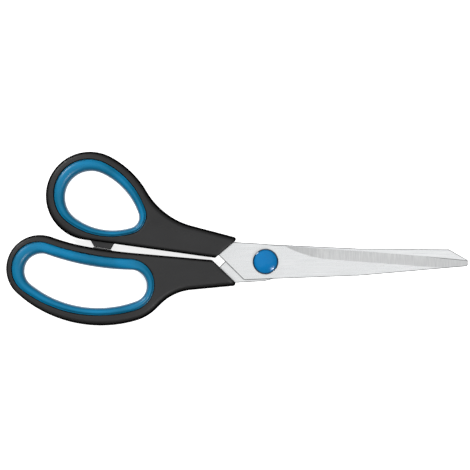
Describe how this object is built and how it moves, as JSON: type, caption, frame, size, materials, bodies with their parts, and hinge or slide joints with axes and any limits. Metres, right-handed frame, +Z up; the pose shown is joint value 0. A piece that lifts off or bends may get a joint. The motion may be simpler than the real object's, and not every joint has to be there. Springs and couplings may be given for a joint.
{
  "type": "scissors",
  "caption": "Office scissors with straight stainless blades, black moulded handles, soft blue loop liners and a capped pivot.",
  "frame": {"origin": "on the pivot axis, in the plane that the backs of the handles and the rear cap lie in", "axes": "+X to the blade tips, +Y to the thumb loop's side, +Z up along the pivot axis, out of the domed cap"},
  "size_m": [0.2103, 0.0791, 0.0093],
  "materials": {
    "blade_steel": "ground",
    "handle_plastic": "fine moulded texture",
    "grip_rubber": "satin",
    "screw_steel": "plain",
    "washer_nylon": "plain",
    "cap_plastic": "semi gloss"
  },
  "bodies": {
    "finger_half": {"rear_blade": "blade_steel", "finger_handle": "handle_plastic", "finger_grip": "grip_rubber", "pivot_screw": "screw_steel", "glide_washer": "washer_nylon", "spring_washer": "screw_steel", "pivot_nut": "screw_steel", "front_cap": "cap_plastic", "rear_cap": "cap_plastic"},
    "thumb_half": {"front_blade": "blade_steel", "thumb_handle": "handle_plastic", "thumb_grip": "grip_rubber"}
  },
  "joints": [
    {"name": "pivot", "type": "hinge", "parent": "finger_half", "child": "thumb_half", "pos_m": [0, 0, 0], "axis": [0, 0, -1], "range_deg": [0, 100]}
  ]
}
